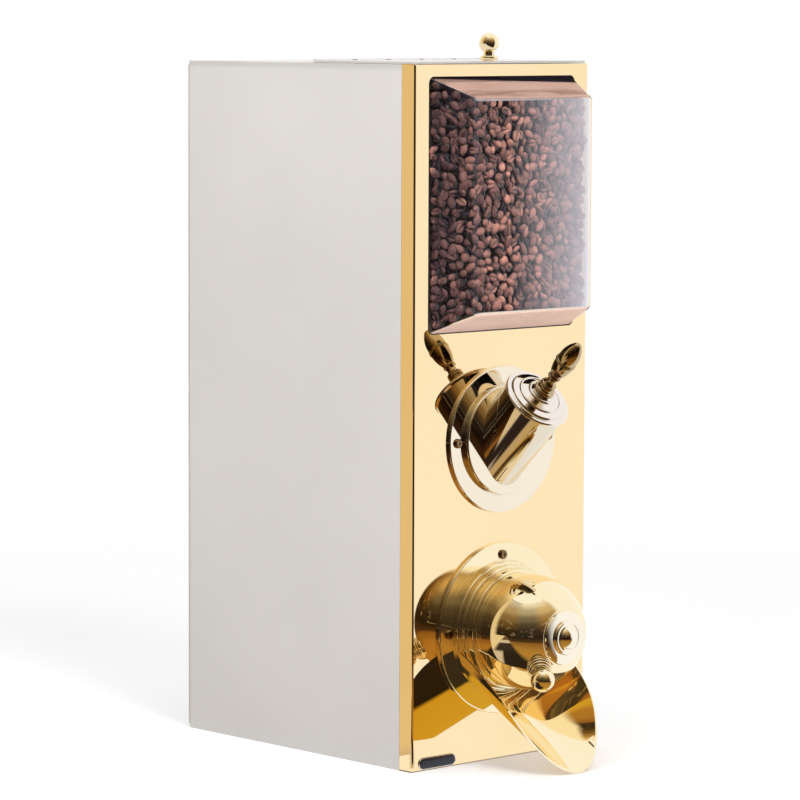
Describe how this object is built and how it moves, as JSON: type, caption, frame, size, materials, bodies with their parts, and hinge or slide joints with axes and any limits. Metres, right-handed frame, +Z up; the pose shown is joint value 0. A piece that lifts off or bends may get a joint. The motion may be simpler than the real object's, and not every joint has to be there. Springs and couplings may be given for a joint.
{
  "type": "coffee bean dispenser",
  "caption": "Counter-top coffee bean dispenser: tall sheet cabinet with clear bubble window, pull-out gate, turning domed outlet, half-round chute and hinged lid",
  "frame": {"origin": "middle of the cabinet's base, on the surface it stands on", "axes": "+Z up, -Y to the front (window, gate and outlet), +X to the right seen from the front"},
  "size_m": [0.21, 0.4009, 0.6368],
  "materials": {
    "polished_gold_sheet": "mirror polished",
    "side_sheet": "satin",
    "inner_sheet": "mill",
    "turned_brass": "polished",
    "white_brass": "polished",
    "bronze_bush": "turned",
    "steel_hardware": "plain",
    "acrylic": "clear",
    "gasket_rubber": "matt",
    "piston_plastic": "plain"
  },
  "bodies": {
    "cabinet": {"front_panel": "polished_gold_sheet", "left_side_panel": "side_sheet", "right_side_panel": "side_sheet", "rear_top_plate": "side_sheet", "back_panel": "side_sheet", "hinge_fixed_leaf": "side_sheet", "base_plate": "inner_sheet", "hopper_body": "inner_sheet", "hopper_funnel": "inner_sheet", "hopper_duct": "inner_sheet", "window_clamp_frame": "inner_sheet", "gate_flange": "turned_brass", "gate_barrel": "turned_brass", "gate_cap": "turned_brass", "outlet_flange": "turned_brass", "outlet_sleeve": "turned_brass", "chute": "turned_brass", "gate_bush": "bronze_bush", "spindle_bush": "bronze_bush", "back_panel_screws": "steel_hardware", "hinge_pin": "steel_hardware", "hinge_fixed_rivets": "steel_hardware", "window_nuts": "steel_hardware", "gate_screws": "steel_hardware", "gate_nuts": "steel_hardware", "outlet_screws": "steel_hardware", "outlet_nuts": "steel_hardware", "hood_stop_pins": "steel_hardware", "window_bubble": "acrylic", "window_gasket": "gasket_rubber"},
    "lid_flap": {"lid": "side_sheet", "lid_knob": "turned_brass", "lid_knob_screw": "steel_hardware", "hinge_moving_leaf": "side_sheet", "hinge_moving_rivets": "steel_hardware"},
    "gate": {"gate_rod": "steel_hardware", "gate_handle": "turned_brass", "gate_piston": "piston_plastic", "piston_nut": "steel_hardware", "gate_stop_collar": "steel_hardware"},
    "hood": {"outlet_hood": "turned_brass", "hood_spindle": "steel_hardware", "spindle_washer": "steel_hardware", "spindle_nut": "steel_hardware", "hood_stop_arm": "steel_hardware", "hood_nose_disc": "white_brass", "hood_boss": "turned_brass", "hood_knob": "turned_brass", "hood_knob_screw": "steel_hardware"}
  },
  "joints": [
    {"name": "lid_hinge", "type": "hinge", "parent": "cabinet", "child": "lid_flap", "pos_m": [0, -0.017, 0.61175], "axis": [-1, 0, 0], "range_deg": [0, 168]},
    {"name": "gate_slide", "type": "slide", "parent": "cabinet", "child": "gate", "axis": [0, -0.7071, 0.7071], "range_m": [0, 0.056]},
    {"name": "hood_turn", "type": "hinge", "parent": "cabinet", "child": "hood", "pos_m": [0, -0.15, 0.117], "axis": [0, 1, 0], "range_deg": [0, 90]}
  ]
}
